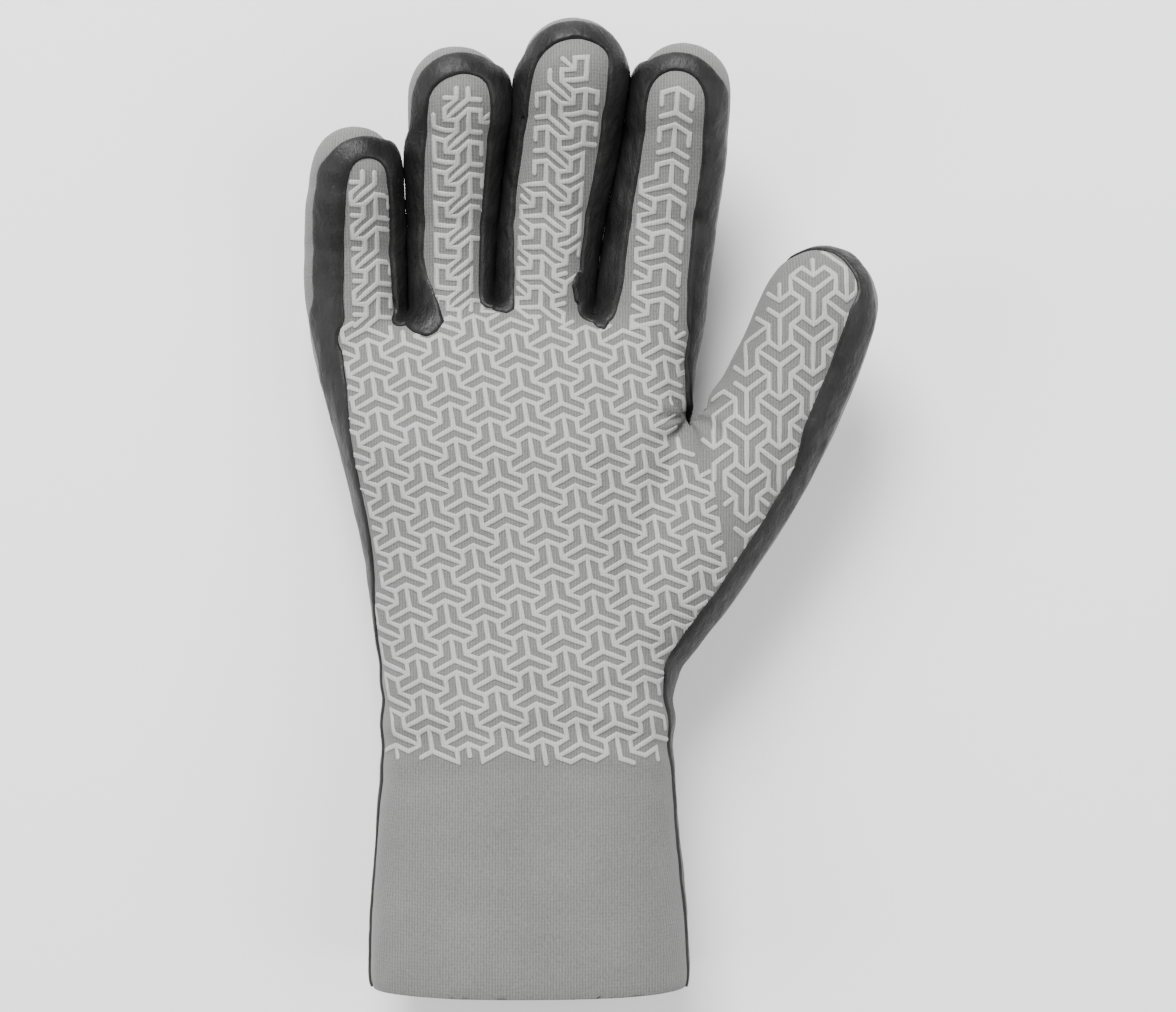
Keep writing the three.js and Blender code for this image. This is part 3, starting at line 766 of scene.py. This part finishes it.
# Where the rows of figures are lowest on a tongue, from its middle, and how steeply they rise from there
BENDS = {"pinky": (-4.0, 0.42), "ring": (-4.0, 0.42), "middle": (4.5, 0.42), "index": (0.0, 0.0)}


def bent(plan, name):
    lowest, steep = BENDS[name]
    away = plan[:, 0] - axis_x(name, plan[:, 1]) - lowest
    return plan + np.stack([0 * away, steep * (np.hypot(away, 1.5) - 3)], 1)


def axis_x(name, y):
    rows = AXES[name]
    return np.interp(y, [r[1] for r in rows], [r[0] for r in rows])


final_tree = tree_of(points, faces)
face_seam = (seam + np.where(seam > 0, TAPE_HALF - to_palm, 0))[faces].mean(axis=1)
bare_of_tape = np.minimum(field, knuckle)[faces].mean(axis=1)


def dropped(plan, side):
    """Where vertical lines meet the skin, from above or from below: places, normals and seam distances."""
    places = np.zeros((len(plan), 3))
    facing = np.zeros((len(plan), 3))
    seams = np.full(len(plan), -99.0)
    for i, (x, y) in enumerate(plan.tolist()):
        hit = final_tree.ray_cast((x, y, 50 + 80 * side), (0, 0, -side))
        if hit[0] is None:
            continue
        places[i], facing[i] = hit[0], hit[1]
        seams[i] = face_seam[hit[2]]
    return places, facing, seams


def ribbons(places, facing, bars, half, height):
    """Raised bars with mitred joints and round free ends, lying on the skin."""
    levels = [(0, height), (0.62 * half, height), (0.92 * half, 0.6 * height), (half, -0.12), (0, -0.15)]
    offsets = np.array([o for o, _ in levels])
    heights = np.array([h for _, h in levels])
    steps = 2
    around = {}
    for a, b in bars.tolist():
        around.setdefault(a, []).append(b)
        around.setdefault(b, []).append(a)
    corner, caps = {}, []
    for i, others in around.items():
        normal = facing[i]
        ways = []
        for other in others:
            way = places[other] - places[i]
            way = way - normal * way.dot(normal)
            ways.append(way / max(np.linalg.norm(way), 1e-9))
        first, second = ways[0], np.cross(normal, ways[0])
        turned = [math.atan2(w.dot(second), w.dot(first)) % (2 * math.pi) for w in ways]
        order = sorted(range(len(others)), key=turned.__getitem__)
        if len(others) == 1:
            left = np.cross(normal, ways[0])
            corner[i, others[0], 1], corner[i, others[0], -1] = left, -left
            caps.append((i, ways[0], left))
            continue
        for place, k in enumerate(order):
            following = order[(place + 1) % len(order)]
            angle = (turned[following] - turned[k]) % (2 * math.pi)
            if abs(math.sin(angle)) < 0.3:
                way = np.cross(normal, ways[k])
            else:
                way = (ways[k] + ways[following]) / math.sin(angle)
                way *= min(1, 1.6 / np.linalg.norm(way))
            corner[i, others[k], 1] = corner[i, others[following], -1] = way
    grids, grid_faces, count = [], [], 0
    columns = len(levels)
    along = np.linspace(0, 1, steps + 1)[:, None, None]
    quads = [(r * columns + k, (r + 1) * columns + k, (r + 1) * columns + k + 1, r * columns + k + 1)
             for r in range(steps) for k in range(columns - 1)]
    strip_faces = np.array([t for a, b, c, d in quads for t in ((a, b, c), (a, c, d))])
    for a, b in bars.tolist():
        for i, j in ((a, b), (b, a)):
            start = places[i] + offsets[:, None] * corner[i, j, 1]
            end = places[j] + offsets[:, None] * corner[j, i, -1]
            grids.append((start + along * (end - start)).reshape(-1, 3))
            grid_faces.append(strip_faces + count)
            count += len(grids[-1])
    turns = 4
    quads = [(q * columns + k, q * columns + k + 1, (q + 1) * columns + k + 1, (q + 1) * columns + k)
             for q in range(turns) for k in range(columns - 1)]
    cap_faces = np.array([t for a, b, c, d in quads for t in ((a, b, c), (a, c, d))])
    for i, way, left in caps:
        for q in range(turns + 1):
            angle = math.pi / 2 + math.pi * q / turns
            out = way * math.cos(angle) + left * math.sin(angle)
            grids.append(places[i] + offsets[:, None] * out)
        grid_faces.append(cap_faces + count)
        count += columns * (turns + 1)
    flat = np.concatenate(grids)
    level = np.tile(heights, len(flat) // columns)
    keys = np.concatenate([np.round(flat * 500), np.round(level[:, None] * 1000)], axis=1)
    _, first, back = np.unique(keys, axis=0, return_index=True, return_inverse=True)
    flat, level = flat[first], level[first]
    all_faces = back.reshape(-1)[np.concatenate(grid_faces)]
    bad = (all_faces == np.roll(all_faces, 1, axis=1)).any(axis=1)
    hits = [final_tree.find_nearest(p) for p in flat.tolist()]
    bare = smooth_step(bare_of_tape[[h[2] for h in hits]], -0.6, 0.7)
    level = np.where(level > 0, level * bare - 0.3 * (1 - bare), level)
    on_skin = np.array([tuple(h[0]) for h in hits])
    out = np.array([tuple(h[1]) for h in hits])
    return on_skin + out * level[:, None], all_faces[~bad]


def printed(plan, bars, side, allowed):
    places, facing, seams = dropped(plan, side)
    good = allowed(plan, seams, places) & (facing[:, 2] * side > 0.28)
    bars = bars[good[bars].all(axis=1)]
    middles = dropped(plan[bars].mean(axis=1), side)[0]
    bars = bars[np.abs(middles[:, 2] - places[bars][:, :, 2].mean(axis=1)) < 0.8]
    group = groups_of(bars, len(plan))[bars[:, 0]]
    bars = bars[np.bincount(group, minlength=len(plan))[group] >= FEWEST_BARS]
    return ribbons(places, facing, bars, PRINT_HALF, PRINT_HEIGHT)


def thumb_line(p):
    """Below zero on the thumb's side of the line where its print meets the palm's."""
    return np.interp(p[:, 1], [-60, -20, 23, 60], [55, 42, 28.5, 30]) - p[:, 0]


nodes, bars = lattice(22, 1)
plan = laid(nodes, PRINTS["palm"])


def fork_line(x):
    """Where the palm's print ends and the tongues' begin, by x."""
    return np.interp(x, [-75, -48, -26, 2, 40], [50, 50.5, 53, 50.5, 48])


def palm_allowed(p, seams, places):
    under = (seams > TAPE_HALF - 3.4) & (p[:, 1] > PRINT_END_Y) & (thumb_line(p) > 0)
    return under & (p[:, 1] < fork_line(p[:, 0]))


def back_allowed(p, seams, places):
    return (seams < -1.2) & (p[:, 1] > PRINT_END_Y)


def thumb_allowed(p, seams, places):
    return (seams > TAPE_HALF - 2.0) & (thumb_line(p) < 0) & (p[:, 1] < 72)


def tongue_allowed(name):
    left, right, tip = BARE[name]

    def allowed(p, seams, places):
        on_left = p[:, 0] < axis_x(name, p[:, 1])
        bare = np.where(on_left, left, right)
        bare = np.where(p[:, 1] > AXES[name][-1][1] - 6, np.maximum(bare, tip), bare)
        nearest = np.argmin([round_digit(places, n)[1] for n in digit_names], axis=0)
        own = nearest == digit_names.index(name)
        return own & (p[:, 1] > fork_line(p[:, 0]) - 1.6) & (seams > TAPE_HALF + bare)

    return allowed


patches = [printed(plan, bars, 1, palm_allowed)]
for name in digit_names[:4]:
    patches.append(printed(bent(laid(nodes, PRINTS[name]), name), bars, 1, tongue_allowed(name)))
make_piece("palm_print", *joined(patches), ink)
make_piece("back_print", *printed(laid(nodes, PRINTS["back"]), bars, -1, back_allowed), ink)
thumb_nodes, thumb_bars = lattice(16, -1)
thumb_plan = laid(thumb_nodes, PRINTS["thumb"])
make_piece("thumb_print", *printed(thumb_plan, thumb_bars, 1, thumb_allowed), ink)

# Stage
low, high = (np.array(c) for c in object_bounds())
centre = (low + high) / 2
floor_mesh = bpy.data.meshes.new("floor")
corners = [(-3, -3, -0.0005), (3, -3, -0.0005), (3, 3, -0.0005), (-3, 3, -0.0005)]
floor_mesh.from_pydata(corners, [], [(0, 1, 2, 3)])
floor_material, _, _, floor_shader = material_with("pale_floor")
floor_shader.inputs["Base Color"].default_value = (0.96, 0.96, 0.96, 1)
floor_shader.inputs["Roughness"].default_value = 0.9
floor_mesh.materials.append(floor_material)
floor = bpy.data.objects.new("floor", floor_mesh)
bpy.context.scene.collection.objects.link(floor)
floor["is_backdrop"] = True


def area_light(name, place, size, power):
    data = bpy.data.lights.new(name, "AREA")
    data.shape = "SQUARE"
    data.size = size
    data.energy = power
    light = bpy.data.objects.new(name, data)
    light.location = place
    light.rotation_euler = (Vector(centre) - Vector(place)).to_track_quat("-Z", "Y").to_euler()
    bpy.context.scene.collection.objects.link(light)


area_light("key", (-0.30, 1.15, 1.15), 0.8, 52)
area_light("fill", (1.0, -0.2, 1.1), 1.0, 14)
area_light("side", (-1.2, -0.1, 0.9), 0.8, 10)
world = bpy.data.worlds.new("studio")
world.use_nodes = True
world.node_tree.nodes["Background"].inputs["Color"].default_value = (1, 1, 1, 1)
world.node_tree.nodes["Background"].inputs["Strength"].default_value = 0.55
bpy.context.scene.world = world

camera_data = bpy.data.cameras.new("camera")
camera_data.lens = 85
camera = bpy.data.objects.new("camera", camera_data)
half_high = math.tan(math.atan(camera_data.sensor_width / 2 / camera_data.lens)) * 1012 / 1176
distance = (high[1] - low[1]) / 2 * 1.05 / half_high
camera.location = (centre[0], centre[1], high[2] * 0.6 + distance)
camera.rotation_euler = (0, 0, 0)
bpy.context.scene.collection.objects.link(camera)
bpy.context.scene.camera = camera
